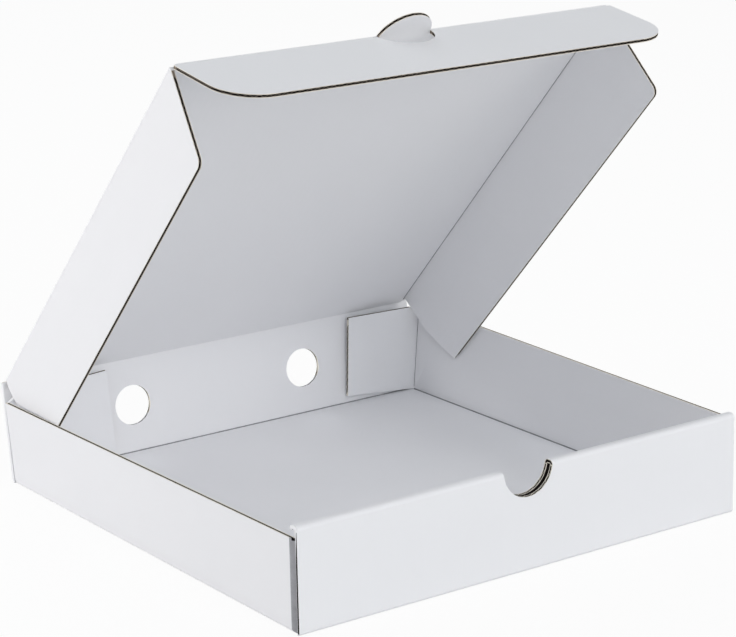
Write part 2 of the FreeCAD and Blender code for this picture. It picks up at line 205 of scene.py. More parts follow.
@dataclass(frozen=True)
class CoatedCard:
    """White clay-coated liner: a matt skin over faint flute lines and paper fibre."""

    colour: Colour = (0.905, 0.905, 0.925, 1.0)
    shade: Colour = (0.872, 0.876, 0.9, 1.0)
    rough: float = 0.56
    line_pitch: float = 3.75 * MM

    def make(self, name: str, across: tuple[float, float, float]) -> bpy.types.Material:
        """Make the card for panels whose flutes lie across a direction.

        Args:
            name: the material's name.
            across: unit direction in which the flute lines follow each other.

        Returns:
            The material.
        """
        graph = Graph(name)
        cloud = graph.noise(22.0, 3.0)
        fibre = graph.noise(1900.0, 4.0, 0.65)
        lines = graph.maths("SINE", graph.along(across) * (math.tau / self.line_pitch))
        tone = graph.maths("MULTIPLY_ADD", fibre, 0.45, cloud * 0.55)
        shader = graph.node("ShaderNodeBsdfPrincipled", inputs={
            "Base Color": graph.blend(tone, self.shade, self.colour),
            "Roughness": self.rough + 0.12 * (fibre - 0.5) + 0.05 * (cloud - 0.5),
            "Specular IOR Level": 0.35,
            "Normal": graph.bump(fibre + 0.35 * lines, 0.012 * MM),
        })
        return graph.surface(shader)


@dataclass(frozen=True)
class BarePaper:
    """Uncoated paper at a cut edge, mottled by its own fibre; the hollows use it as near-black
    painted shade.
    """

    pale: Colour
    dark: Colour
    cells: float
    detail: float
    rough: float = 0.9
    gloss: float = 0.1
    relief: float = 0.04 * MM

    def make(self, name: str) -> bpy.types.Material:
        """Make the paper's material.

        Args:
            name: the material's name.

        Returns:
            The new material.
        """
        graph = Graph(name)
        fibre = graph.noise(self.cells, self.detail, 0.7)
        shader = graph.node("ShaderNodeBsdfPrincipled", inputs={
            "Base Color": graph.blend(fibre, self.dark, self.pale),
            "Roughness": self.rough,
            "Specular IOR Level": self.gloss,
            "Normal": graph.bump(fibre, self.relief),
        })
        return graph.surface(shader)


@dataclass(frozen=True)
class CreaseShade:
    """Scored and folded liner, painted grey for the shade that falls in the fold, over a
    crushed bump.
    """

    # Greys that paint the shade in a fold.
    pale: Colour = (0.6, 0.6, 0.63, 1.0)
    dark: Colour = (0.22, 0.22, 0.24, 1.0)

    def make(self, name: str) -> bpy.types.Material:
        """Make the crease material, whose grey is painted shade."""
        graph = Graph(name)
        crush = graph.noise(160.0, 4.0, 0.65)
        fibre = graph.noise(2100.0, 3.0, 0.6)
        shader = graph.node("ShaderNodeBsdfPrincipled", inputs={
            "Base Color": graph.blend(0.7 * crush + 0.3 * fibre, self.dark, self.pale),
            "Roughness": 0.75,
            "Specular IOR Level": 0.2,
            "Normal": graph.bump(crush + 0.4 * fibre, 0.06 * MM),
        })
        return graph.surface(shader)


class Slot(Enum):
    """Material slots that every carved piece has, in order."""

    CARD = 0
    SIDE_CARD = 1
    RIM = 2
    # Near-black painted shade inside the open flutes and in the front wall's slit.
    HOLLOW_SHADE = 3
    WAVE = 4
    # Grey painted shade in pressed creases and the corner folds.
    CREASE = 5


BARE_FINISHES = {
    Slot.RIM: BarePaper((0.92, 0.885, 0.81, 1.0), (0.72, 0.65, 0.55, 1.0), 3200.0, 3.0,
                        rough=0.85, gloss=0.2, relief=0.03 * MM),
    # The hollows are painted near-black for the shade in them, not the brown of the medium.
    Slot.HOLLOW_SHADE: BarePaper((0.035, 0.028, 0.024, 1.0), (0.01, 0.008, 0.008, 1.0),
                            1400.0, 4.0),
    Slot.WAVE: BarePaper((0.36, 0.3, 0.24, 1.0), (0.12, 0.095, 0.078, 1.0), 1100.0, 3.0),
    # The creases are painted grey for the shade in the fold.
    Slot.CREASE: CreaseShade(),
}


# ------------------------------------------------------------------- workbench


class Bench:
    """Modelling moves that every sub-assembly uses."""

    @staticmethod
    def only(obj: bpy.types.Object) -> None:
        """Select one object alone and make it active."""
        bpy.ops.object.select_all(action="DESELECT")
        obj.select_set(True)
        bpy.context.view_layer.objects.active = obj

    @staticmethod
    def copy_of(node: bpy.types.Object, name: str) -> bpy.types.Object:
        """Copy a frame node's shape, merged into whole faces.

        Args:
            node: the frame's own object, which stays as it is.
            name: the new piece's name.

        Returns:
            The copy, at the origin.
        """
        piece = bpy.data.objects.new(name, node.data.copy())
        piece.data.materials.clear()
        bpy.context.scene.collection.objects.link(piece)
        Bench.only(piece)
        bpy.ops.object.mode_set(mode="EDIT")
        bpy.ops.mesh.select_all(action="SELECT")
        bpy.ops.mesh.remove_doubles(threshold=MERGE)
        bpy.ops.mesh.dissolve_limited(angle_limit=FLAT_ANGLE)
        bpy.ops.object.mode_set(mode="OBJECT")
        return piece

    @staticmethod
    def outline(name: str, points: list[Vector]) -> bpy.types.Object:
        """Make a flat face through some points.

        Args:
            name: the new object's name.
            points: the face's corners in order.

        Returns:
            The new object, active and the only one selected.
        """
        bpy.ops.object.select_all(action="DESELECT")
        bpy.ops.mesh.primitive_circle_add(vertices=len(points), fill_type="NGON")
        face = bpy.context.object
        face.name = name
        for vertex, point in zip(face.data.vertices, points):
            vertex.co = point
        return face

    @staticmethod
    def face_outwards() -> None:
        """In edit mode, turn every face of the solid outwards and leave edit mode."""
        bpy.ops.mesh.select_all(action="SELECT")
        bpy.ops.mesh.normals_make_consistent(inside=False)
        bpy.ops.object.mode_set(mode="OBJECT")

    @staticmethod
    def draw_out(shift: tuple[float, float, float]) -> None:
        """Extrude the active flat face into a closed solid.

        Args:
            shift: how far the face is drawn, in metres.
        """
        bpy.ops.object.mode_set(mode="EDIT")
        bpy.ops.mesh.select_all(action="SELECT")
        bpy.ops.mesh.extrude_region_move(TRANSFORM_OT_translate={"value": shift})
        Bench.face_outwards()

    @staticmethod
    def pick(piece: bpy.types.Object, test: FaceTest) -> None:
        """Select the faces whose centre and normal pass a test."""
        for part in (piece.data.vertices, piece.data.edges, piece.data.polygons):
            part.foreach_set("select", [False] * len(part))
        for face in piece.data.polygons:
            face.select = test(face.center, face.normal)

    @staticmethod
    def split(piece: bpy.types.Object, plane_co: Vector, plane_no: Vector,
              test: FaceTest) -> None:
        """Cut a line across the faces that pass a test."""
        Bench.only(piece)
        bpy.ops.object.mode_set(mode="EDIT")
        bpy.ops.mesh.select_mode(type="FACE")
        bpy.ops.object.mode_set(mode="OBJECT")
        Bench.pick(piece, test)
        bpy.ops.object.mode_set(mode="EDIT")
        bpy.ops.mesh.bisect(plane_co=plane_co, plane_no=plane_no, use_fill=False)
        bpy.ops.object.mode_set(mode="OBJECT")

    @staticmethod
    def carve(piece: bpy.types.Object, tool: bpy.types.Object,
              operation: str = "DIFFERENCE") -> None:
        """Cut a tool's shape out of a piece, or add it, and put the tool away."""
        cut = piece.modifiers.new("carve", "BOOLEAN")
        cut.operation = operation
        cut.solver = "MANIFOLD"
        cut.material_mode = "INDEX"
        cut.object = tool
        Bench.only(piece)
        bpy.ops.object.modifier_apply(modifier=cut.name)
        bpy.data.objects.remove(tool, do_unlink=True)

    @staticmethod
    def finish(piece: bpy.types.Object) -> None:
        """Smooth the rounded folds, keep the cut edges sharp and the panels flat."""
        Bench.only(piece)
        bpy.ops.object.shade_smooth_by_angle(angle=SMOOTH_ANGLE)
        even = piece.modifiers.new("even", "WEIGHTED_NORMAL")
        even.keep_sharp = True
        even.weight = FACE_WEIGHT
        bpy.ops.object.modifier_apply(modifier=even.name)


# ----------------------------------------------------------------------- board


@dataclass(frozen=True)
class Board:
    """Section of the single-wall board, in metres."""

    thick: float = 1.65 * MM
    liner: float = 0.3 * MM
    medium: float = 0.17 * MM
    pitch: float = 3.75 * MM
    steps: int = 8

    @property
    def inside(self) -> float:
        """Half the height between the liners."""
        return self.thick / 2 - self.liner

    def hollow(self) -> list[tuple[float, float]]:
        """Outline of the hollow over one trough of the flute.

        Returns:
            Points (across, height) from the middle of the trough and of the board.
        """
        reach = 0.42 * self.pitch
        swing = self.inside - self.medium / 2
        points = [(-reach, self.inside)]
        for step in range(self.steps + 1):
            across = -reach + 2 * reach * step / self.steps
            angle = math.tau * across / self.pitch
            slope = swing * math.tau / self.pitch * math.sin(angle)
            skin = self.medium / 2 * math.hypot(1.0, slope)
            points.append((across, -swing * math.cos(angle) + skin))
        points.append((reach, self.inside))
        return points

    def channels(self, name: str, frame: Matrix, first: float, count: int,
                 start: float, end: float, warp: Warp | None = None,
                 mirrored: bool = False) -> bpy.types.Object:
        """Tool that opens a row of flutes, whose hollows are painted near-black for their
        shade.

        Args:
            name: the tool's name.
            frame: place of the board, with its columns across the flutes, along them
                and out of the board.
            first: middle of the first trough, across the flutes.
            count: number of flutes.
            start: where the hollows start along the flutes.
            end: where they end.
            warp: how a point moves where the board is bent.
            mirrored: whether the warp turns the tool inside out.

        Returns:
            The tool, ready to carve with.
        """
        halves = []
        for side in (1, -1):
            shift = first if side > 0 else first + self.pitch / 2
            halves.append(Bench.outline(name, [
                Vector((shift + side * across, start, side * height))
                for across, height in self.hollow()]))
            Bench.draw_out((0.0, end - start, 0.0))
        bpy.ops.object.select_all(action="DESELECT")
        for half in halves:
            half.select_set(True)
        bpy.context.view_layer.objects.active = halves[0]
        bpy.ops.object.join()
        tool = bpy.context.object
        row = tool.modifiers.new("row", "ARRAY")
        row.count = count
        row.use_relative_offset = False
        row.use_constant_offset = True
        row.constant_offset_displace = (self.pitch, 0.0, 0.0)
        bpy.ops.object.modifier_apply(modifier=row.name)
        return self.placed(tool, frame, warp, mirrored)

    def first_of(self, count: int) -> float:
        """Middle of the first trough in a row of flutes that is centred on zero."""
        return -self.pitch * (count - 1) / 2 - self.pitch * TROUGH_SHIFT

    def groove(self, name: str, ends: list[list[Vector]],
               slot: Slot = Slot.HOLLOW_SHADE) -> bpy.types.Object:
        """Tool that opens one flute or presses one crease along a line.

        Args:
            name: the tool's name.
            ends: the groove's four corners at its start and at its end.
            slot: slot of the faces that it leaves; by default the hollows' near-black painted
                shade.

        Returns:
            The tool, ready to carve with.
        """
        near, far = ends
        shift = far[0] - near[0]
        tool = Bench.outline(name, near)
        bpy.ops.object.mode_set(mode="EDIT")
        bpy.ops.mesh.select_all(action="SELECT")
        bpy.ops.mesh.extrude_region_move(TRANSFORM_OT_translate={"value": shift})
        bpy.ops.object.mode_set(mode="OBJECT")
        for vertex in [vertex for vertex in tool.data.vertices if vertex.select]:
            nearest = min(range(len(near)), key=lambda corner: (
                vertex.co - (near[corner] + shift)).length)
            vertex.co = far[nearest]
        bpy.ops.object.mode_set(mode="EDIT")
        Bench.face_outwards()
        return self.placed(tool, Matrix.Identity(4), slot=slot)

    def crease(self, name: str, start: Vector, end: Vector,
               half: float = 0.3 * MM) -> bpy.types.Object:
        """Tool that presses a crease between two points and paints its faces grey for shade.

        Args:
            name: the tool's name.
            start: one end of the crease.
            end: the other end.
            half: half the crease's width.

        Returns:
            The tool, ready to carve with.
        """
        run = (end - start).normalized()
        side = run.orthogonal().normalized()
        up = run.cross(side)
        corners = [side * a + up * b for a, b in (
            (-half, -half), (half, -half), (half, half), (-half, half))]
        return self.groove(name, [[start + c for c in corners], [end + c for c in corners]],
                           Slot.CREASE)

    @staticmethod
    def placed(tool: bpy.types.Object, frame: Matrix, warp: Warp | None = None,
               mirrored: bool = False, slot: Slot = Slot.HOLLOW_SHADE) -> bpy.types.Object:
        """Put a tool in place and give its faces their slot, by default the hollows' near-black
        painted shade.
        """
        for vertex in tool.data.vertices:
            point = frame @ vertex.co
            vertex.co = warp(point) if warp else point
        if mirrored:
            tool.data.flip_normals()
        for _ in Slot:
            tool.data.materials.append(None)
        for face in tool.data.polygons:
            face.material_index = slot.value
        return tool


def axes(origin: Vector, across: Vector, with_flutes: Vector, out: Vector) -> Matrix:
    """Matrix whose columns are a board's own directions."""
    frame = Matrix.Identity(4)
    for column, direction in enumerate((across, with_flutes, out, origin)):
        for row in range(3):
            frame[row][column] = direction[row]
    return frame


@dataclass
class Dress:
    """The finishes of one piece."""

    across: tuple[float, float, float] = (1.0, 0.0, 0.0)
    side_across: tuple[float, float, float] = (0.0, 0.0, 1.0)

    def put_on(self, piece: bpy.types.Object) -> None:
        """Fill a piece's slots."""
        card = CoatedCard()
        slots = piece.data.materials
        slots[Slot.CARD.value] = card.make(piece.name + "_card", self.across)
        slots[Slot.SIDE_CARD.value] = card.make(piece.name + "_side_card", self.side_across)
        for slot, finish in BARE_FINISHES.items():
            slots[slot.value] = finish.make(piece.name + "_" + slot.name.lower())


# ------------------------------------------------------------------------- lid


@dataclass
class TuckFlap:
    """Front flap of the lid with its half-moon hole."""

    board: Board = field(default_factory=Board)
    crease: tuple[float, float, float] = (0.0, -0.035226, 0.213697)
    angle: float = math.radians(9.4)
    half: float = 112.35 * MM
    depth: float = 45.575 * MM

    def place(self) -> Matrix:
        """Matrix from the flat flap to the open box."""
        return Matrix.Translation(self.crease) @ Matrix.Rotation(self.angle, 4, "X")

    def build(self, nodes: dict) -> list[bpy.types.Object]:
        """Carve the flap.

        Args:
            nodes: the frame's nodes.

        Returns:
            The finished piece, in a list.
        """
        piece = Bench.copy_of(nodes["tuck_flap"], "tuck_flap_board")
        place = self.place()
        out = (place.to_3x3() @ Vector((0, 0, 1))).normalized()
        origin = Vector(self.crease)

        def cut_edge(_centre: Vector, normal: Vector) -> bool:
            """Face that stands across the board."""
            return abs(normal.dot(out)) < 0.5

        for side in (-1, 1):
            Bench.split(piece, origin + out * side * self.board.inside, out, cut_edge)
        mark_rims(piece, cut_edge,
                  lambda centre: abs((centre - origin).dot(out)) < self.board.inside)
        count = round(2 * self.half / self.board.pitch) + 1
        # The flap's hollows get near-black painted shade.
        tool = self.board.channels("flap_flutes", place, self.board.first_of(count), count,
                                   -self.depth - 2 * MM, -3 * MM)
        Bench.carve(piece, tool)
        Dress().put_on(piece)
        Bench.finish(piece)
        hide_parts("tuck_flap")
        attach(piece, "tuck_flap")
        return [piece]


def mark_rims(piece: bpy.types.Object, is_edge: FaceTest,
              in_core: Callable[[Vector], bool]) -> None:
    """Give the cut edges their slots.

    Args:
        piece: the piece, with its cut edges split along the liners.
        is_edge: whether a face belongs to a cut edge.
        in_core: whether a point lies between the liners.
    """
    while len(piece.data.materials) < len(Slot):
        piece.data.materials.append(None)
    for face in piece.data.polygons:
        if is_edge(face.center, face.normal):
            core = in_core(face.center)
            face.material_index = (Slot.WAVE if core else Slot.RIM).value


@dataclass
class Lid:
    """Lid panel with the folds of its side flaps and its half-moon tongue."""

    board: Board = field(default_factory=Board)
    hinge: tuple[float, float, float] = (0.0, 0.1227866, 0.0460181)
    angle: float = math.radians(-46.7)
    length: float = 230.4 * MM
    half: float = 112.8 * MM
    tongue: float = 13.3 * MM

    def place(self) -> Matrix:
        """Matrix from the flat lid to the open box."""
        return Matrix.Translation(self.hinge) @ Matrix.Rotation(self.angle, 4, "X")

    def build(self, nodes: dict) -> list[bpy.types.Object]:
        """Carve the lid panel and fold its side flaps.

        Args:
            nodes: the frame's nodes.

        Returns:
            The finished pieces, the panel first.
        """
        panel = self.panel(nodes)
        flaps = [flap.build(self) for flap in (
            SideFlap("left", -1, self.board, depth=42.8 * MM, rear_lean=2.4,
                     front_lean=6.2, front_taper=5.8 * MM,
                     rear_line=((1.0 * MM, 0.0), (1.6 * MM, 9.0 * MM),
                                (5.6 * MM, 21.0 * MM), (9.6 * MM, 34.0 * MM))),
            SideFlap("right", 1, self.board, depth=44.6 * MM, rear_lean=2.8,
                     front_lean=7.3, front_taper=5.0 * MM,
                     rear_line=((4.6 * MM, 0.0), (4.8 * MM, 5.0 * MM),
                                (5.6 * MM, 19.0 * MM), (9.6 * MM, 34.0 * MM))),
        )]
        return [panel, *flaps]

    def panel(self, nodes: dict) -> bpy.types.Object:
        """Carve the lid panel."""
        piece = Bench.copy_of(nodes["lid"], "lid_board")
        place = self.place()
        flat = place.inverted()
        turn = flat.to_3x3()
        out = (place.to_3x3() @ Vector((0, 0, 1))).normalized()
        inside = self.board.inside
        Bench.carve(piece, self.below(out))
        Bench.carve(piece, self.crisp_panel(), "UNION")

        def tongue_edge(centre: Vector, normal: Vector) -> bool:
            """Cut edge of the tongue."""
            spot = flat @ centre
            level = abs((turn @ normal).z) < 0.4
            return spot.y < -self.length - 0.9 * MM and level

        for skin in (-1, 1):
            Bench.split(piece, Vector(self.hinge) + out * skin * inside, out, tongue_edge)
        mark_rims(piece, tongue_edge, lambda centre: abs((flat @ centre).z) < inside)
        # The tongue's hollows get near-black painted shade.
        count = round(2 * self.tongue / self.board.pitch)
        tool = self.board.channels("tongue_flutes", place, self.board.first_of(count),
                                   count, -self.length - self.tongue - 2 * MM,
                                   -self.length + 2 * MM)
        Bench.carve(piece, tool)
        # The flap creases get grey painted shade.
        for side in (-1, 1):
            across = side * (self.half - self.board.thick - 0.1 * MM)
            Bench.carve(piece, self.board.crease(
                "flap_crease", place @ Vector((across, -3 * MM, -self.board.thick / 2)),
                place @ Vector((across, -self.length + 2 * MM, -self.board.thick / 2))))
        down = place.to_3x3() @ Vector((0, 0, -1))
        Dress(side_across=tuple(down)).put_on(piece)
        Bench.finish(piece)
        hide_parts("lid")
        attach(piece, "lid")
        return piece

    def crisp_panel(self) -> bpy.types.Object:
        """Plate that gives the panel the crisp outer folds of scored board."""
        near, far = 1.6 * MM, self.length - 1.5 * MM
        bpy.ops.object.select_all(action="DESELECT")
        bpy.ops.mesh.primitive_cube_add(size=1.0)
        plate = bpy.context.object
        plate.name = "crisp_panel"
        plate.scale = (2 * self.half, far - near, self.board.thick)
        bpy.ops.object.transform_apply(location=False, rotation=False, scale=True)
        bpy.ops.object.mode_set(mode="EDIT")
        bpy.ops.mesh.select_all(action="SELECT")
        bpy.ops.mesh.bevel(offset=0.22 * MM, offset_type="OFFSET", segments=2, affect="EDGES")
        bpy.ops.object.mode_set(mode="OBJECT")
        place = self.place() @ Matrix.Translation((0, -(near + far) / 2, 0))
        return self.board.placed(plate, place, slot=Slot.CARD)

    def below(self, out: Vector) -> bpy.types.Object:
        """Tool that takes the square side flaps off under the panel."""
        room = 0.3
        drop = self.board.thick / 2 + 0.02 * MM + room / 2
        middle = self.place() @ Vector((0, -self.length / 2, 0)) - out * drop
        bpy.ops.object.select_all(action="DESELECT")
        bpy.ops.mesh.primitive_cube_add(size=room, location=middle,
                                        rotation=(self.angle, 0.0, 0.0))
        bpy.ops.object.transform_apply(location=True, rotation=True, scale=True)
        tool = bpy.context.object
        tool.name = "below_lid"
        return tool


@dataclass
class SideFlap:
    """Side flap of the lid: springy card that stands out a little, more so in front."""

    label: str
    side: int
    board: Board
    depth: float
    rear_lean: float
    front_lean: float
    front_taper: float
    rear_line: tuple[tuple[float, float], ...]
    front: float = 228.8 * MM
    corner: float = 5.5 * MM
    corner_share: float = 0.62
    corner_steps: int = 8
    rear_tip: float = 13.6 * MM
    bends: int = 14
    last_trough: float = 0.88
    closing_tilt: float = math.radians(28)

    def build(self, lid: Lid) -> bpy.types.Object:
        """Cut the flap flat, open its flutes and fold it to the lid.

        Args:
            lid: the lid that carries it.

        Returns:
            The finished piece.
        """

        def cut_edge(_centre: Vector, normal: Vector) -> bool:
            """Face that stands across the board."""
            return abs(normal.z) < 0.5

        piece = self.blank()
        thick = self.board.thick
        for skin in (-1, 1):
            Bench.split(piece, Vector((0, 0, skin * self.board.inside)),
                        Vector((0, 0, 1)), cut_edge)
        mark_rims(piece, cut_edge, lambda centre: abs(centre.z) < self.board.inside)
        frame = axes(Vector((0, 0, 0)), Vector((0, 1, 0)), Vector((-1, 0, 0)),
                     Vector((0, 0, 1)))
        count = int(self.depth / self.board.pitch)
        first = self.depth - (count - self.last_trough) * self.board.pitch
        # The side flap's hollows get near-black painted shade.
        Bench.carve(piece, self.board.channels(
            "side_flutes", frame, first, count, -self.front - 2 * MM, -2 * MM))
        for step in range(1, self.bends):
            along = self.front * step / self.bends
            Bench.split(piece, Vector((along, 0, 0)), Vector((1, 0, 0)),
                        lambda centre, normal: True)
        self.fold(piece, lid)
        down = lid.place().to_3x3() @ Vector((0, 0, -1))
        for face in piece.data.polygons:
            if face.material_index == Slot.CARD.value:
                face.material_index = Slot.SIDE_CARD.value
        Dress(side_across=tuple(down)).put_on(piece)
        Bench.finish(piece)
        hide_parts("lid")
        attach(piece, "lid")
        crease = lid.place() @ Vector((self.side * (lid.half - thick), 0, -thick / 2))
        tilt = self.closing_tilt
        out = lid.place().to_3x3() @ Vector(
            (self.side * math.cos(tilt), 0, -math.sin(tilt)))
        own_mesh(piece)
        return piece

    def blank(self) -> bpy.types.Object:
        """Flat flap: x runs from the hinge line forwards, y down its depth."""
        thick = self.board.thick
        low = self.depth - thick / 2
        outline = [*self.rear_line, (self.rear_tip, low),
                   (self.front - self.front_taper, low), (self.front, 0.0)]
        piece = Bench.outline(self.label + "_side_flap", [
            Vector((along, down + thick / 2, -thick / 2)) for along, down in outline])
        bpy.ops.object.mode_set(mode="EDIT")
        bpy.ops.mesh.select_all(action="DESELECT")
        bpy.ops.mesh.select_mode(type="VERT")
        bpy.ops.object.mode_set(mode="OBJECT")
        piece.data.vertices[len(outline) - 2].select = True
        bpy.ops.object.mode_set(mode="EDIT")
        bpy.ops.mesh.bevel(offset=self.corner * self.corner_share, offset_type="OFFSET",
                           segments=self.corner_steps, affect="VERTICES")
        Bench.draw_out((0.0, 0.0, thick))
        return piece

    def fold(self, piece: bpy.types.Object, lid: Lid) -> None:
        """Bend the flat flap down from the lid, leaning out more towards the front."""
        place = lid.place()
        thick = self.board.thick
        for vertex in piece.data.vertices:
            along, down, across = vertex.co
            share = along / self.front
            lean = math.radians(self.rear_lean + (self.front_lean - self.rear_lean) * share)
            reach, skin = down - thick / 2, across + thick / 2
            out = reach * math.sin(lean) + skin * math.cos(lean)
            drop = reach * math.cos(lean) - skin * math.sin(lean)
            vertex.co = place @ Vector((
                self.side * (lid.half - thick + out), -along, -thick / 2 - drop))
        if self.side > 0:
            piece.data.flip_normals()


# ------------------------------------------------------------------------ tray


@dataclass(frozen=True)
class Wall:
    """One side wall: upright in front, leaning out at the rear."""

    side: int
    front_height: float
    rear_height: float
    lean: float
    tab: float
    tab_shoulder: float
    tab_swing: float
    rear_top: float = 44.85 * MM

    @property
    def tab_end(self) -> float:
        """Height of the rear tab's top edge at its free end."""
        return self.rear_top - self.tab * math.sin(self.lean)


@dataclass
class Tray:
    """Floor, walls and tabs of the box."""

    board: Board = field(default_factory=Board)
    half: float = 114.5 * MM
    depth: float = 118.0 * MM
    height: float = 45.4 * MM
    wall_end: float = 114.55 * MM
    roll: float = 2.0 * MM
    inner_face: float = 112.75 * MM
    notch: float = 12.8 * MM
    back_lean: float = math.radians(7.2)
    vent: float = 9.5 * MM
    vent_across: float = 48.4 * MM
    vent_rise: float = 22.9 * MM
    walls: tuple[Wall, ...] = (
        Wall(side=-1, front_height=39.6 * MM, rear_height=39.6 * MM,
             lean=math.radians(4.4), tab=52.0 * MM, tab_shoulder=42.0 * MM,
             tab_swing=0.6 * MM),
        Wall(side=1, front_height=43.3 * MM, rear_height=45.2 * MM,
             lean=math.radians(5.3), tab=41.0 * MM, tab_shoulder=44.3 * MM,
             tab_swing=3.2 * MM),
    )

    def build(self, nodes: dict) -> list[bpy.types.Object]:
        """Carve the tray.

        Args:
            nodes: the frame's nodes.

        Returns:
            The finished piece, in a list.
        """
        piece = Bench.copy_of(nodes["tray"], "tray_board")
        mark_rims(piece, self.is_rim, lambda centre: False)
        for face in piece.data.polygons:
            if abs(face.normal.x) > 0.7 and face.material_index == Slot.CARD.value:
                face.material_index = Slot.SIDE_CARD.value
            # Faces in the front wall's slit are white card, painted near-black for the shade in
            # the slit.
            if self.in_shaded_gap(face):
                face.material_index = Slot.HOLLOW_SHADE.value
        for wall in self.walls:
            # The flute tools leave near-black painted shade in their hollows.
            Bench.carve(piece, self.wall_groove(wall))
            Bench.carve(piece, self.front_end(wall.side))
            # The corner fold gets grey painted shade.
            Bench.carve(piece, self.corner_fold(wall))
            # The crease tools leave grey painted shade.
            Bench.carve(piece, self.floor_crease(wall.side))
            Bench.carve(piece, self.tab_crease(wall))
            Bench.carve(piece, self.tab_groove(wall))
            Bench.carve(piece, self.tab_flutes(wall))
            Bench.carve(piece, self.vent_flutes(wall.side))
        for tool in self.notch_flutes():
            Bench.carve(piece, tool)
        back = Vector((0.0, self.depth - self.board.thick, self.board.thick))
        reach = Vector((self.half - 4 * MM, 0, 0))
        # The back crease gets grey painted shade.
        Bench.carve(piece, self.board.crease("back_crease", back - reach, back + reach))
        Dress().put_on(piece)
        Bench.finish(piece)
        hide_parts("tray")
        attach(piece, "tray")
        return [piece]

    def is_rim(self, centre: Vector, normal: Vector) -> bool:
        """Whether a face of the tray is one of its cut edges."""
        on_top = normal.z > 0.9 and centre.z > 35 * MM and centre.y > -self.inner_face
        tab_end = abs(normal.x) > 0.9 and centre.y > self.wall_end and abs(centre.x) < 0.08
        at_notch = (centre.y < -self.inner_face + 0.01 * MM and abs(normal.y) < 0.1
                    and math.hypot(centre.x, centre.z - self.height) < self.notch + 0.2 * MM)
        hole = math.hypot(abs(centre.x) - self.vent_across,
                          centre.z - self.vent_rise - self.board.thick)
        at_vent = centre.y > 0.115 and hole < self.vent + 0.4 * MM and abs(normal.y) < 0.3
        return on_top or tab_end or at_notch or at_vent

    def in_shaded_gap(self, face: bpy.types.MeshPolygon) -> bool:
        """Whether a face lies in the slit between the front wall's two layers, painted
        near-black for its shade.
        """
        outer = -self.depth + self.board.thick - 0.05 * MM
        inner = -self.inner_face - self.board.thick + 0.05 * MM
        inside = (outer < face.center.y < inner and abs(face.normal.y) > 0.9
                  and abs(face.center.x) < self.half - 3 * MM)
        return inside and face.center.z > 8 * MM

    def on_wall(self, wall: Wall, rear: bool, out: float, rise: float) -> Vector:
        """Point of a side wall's end.

        Args:
            wall: the wall.
            rear: whether the point is at the wall's rear end.
            out: distance outwards from the wall's inner face.
            rise: height along the wall from the floor.

        Returns:
            The point.
        """
        lean = wall.lean if rear else 0.0
        foot = self.board.thick
        across = self.half - foot + out * math.cos(lean) + rise * math.sin(lean)
        up = foot - out * math.sin(lean) + rise * math.cos(lean)
        return Vector((wall.side * across, self.wall_end if rear else -self.wall_end, up))

    def wall_groove(self, wall: Wall) -> bpy.types.Object:
        """Tool for the flute that lies open along a side wall's top edge."""
        near, far = (0.75 * MM, 1.35 * MM) if wall.side > 0 else (0.45 * MM, 1.2 * MM)
        ends = []
        for rear, height in ((False, wall.front_height), (True, wall.rear_height)):
            top = height - self.board.thick
            ends.append([self.on_wall(wall, rear, out, rise) for out, rise in (
                (near, top - OPENED_DEPTH), (far, top - OPENED_DEPTH),
                (far, top + 0.05 * MM), (near, top + 0.05 * MM))])
        return self.board.groove("wall_groove", ends)

    def roll_path(self, low: float) -> list[tuple[float, float]]:
        """Outline, in depth and height, of the core of the front wall's fold."""
        liner, thick = self.board.liner, self.board.thick
        outer, inner = self.roll - liner, self.roll - thick + liner
        front, back = -self.depth + self.roll, -self.inner_face - self.roll
        level = self.height - self.roll
        steps = [math.pi / 2 * step / ROLL_STEPS for step in range(ROLL_STEPS + 1)]
        path = [(-self.depth + liner, low)]
        path += [(front - outer * math.cos(a), level + outer * math.sin(a)) for a in steps]
        path += [(back + outer * math.sin(a), level + outer * math.cos(a)) for a in steps]
        path += [(back + inner * math.cos(a), level + inner * math.sin(a)) for a in steps]
        path += [(front - inner * math.sin(a), level + inner * math.cos(a)) for a in steps]
        path.append((-self.depth + thick - liner, low))
        return path

    def prism(self, name: str, outline: list[tuple[float, float]], start: float,
              end: float) -> bpy.types.Object:
        """Tool with an outline in depth and height, drawn out from left to right."""
        tool = Bench.outline(name, [Vector((start, y, z)) for y, z in outline])
        Bench.draw_out((end - start, 0.0, 0.0))
        return self.board.placed(tool, Matrix.Identity(4))

    def front_end(self, side: int) -> bpy.types.Object:
        """Tool for the gap at one end of the front wall, wider lower down, painted near-black
        for its shade.
        """
        near, far = -self.depth + 0.5 * MM, -self.depth + 1.5 * MM
        low, top = 0.6 * MM, self.height - self.roll - 0.4 * MM
        outline = [(near, low), (near, top), (near + 0.3 * MM, top),
                   (near + 0.75 * MM, self.height - 9 * MM),
                   (far, self.height - 16 * MM), (far, low)]
        start, end = side * (self.half - 1.6 * MM), side * (self.half + 1.0 * MM)
        return self.prism("front_end", outline, start, end)

    def corner_fold(self, wall: Wall) -> bpy.types.Object:
        """Tool for the fold that turns in from a side wall behind the front wall, painted grey
        for the shade in that crevice.
        """
        behind = self.depth - self.board.thick + 0.02 * MM
        corners = ((self.half + 0.4 * MM, 111.4 * MM), (self.half - 0.35 * MM, 113.0 * MM),
                   (self.half - 2.0 * MM, behind), (self.half + 0.6 * MM, behind))
        ends = [[Vector((wall.side * across, -along, high)) for across, along in corners]
                for high in (-1 * MM, wall.front_height + 1 * MM)]
        return self.board.groove("corner_fold", ends, Slot.CREASE)

    def floor_crease(self, side: int) -> bpy.types.Object:
        """Tool for the crease between the floor and a side wall."""
        across = side * (self.half - self.board.thick)
        start = Vector((across, -self.inner_face + 0.3 * MM, self.board.thick))
        return self.board.crease("floor_crease", start,
                                 Vector((across, self.wall_end - 0.2 * MM, self.board.thick)))

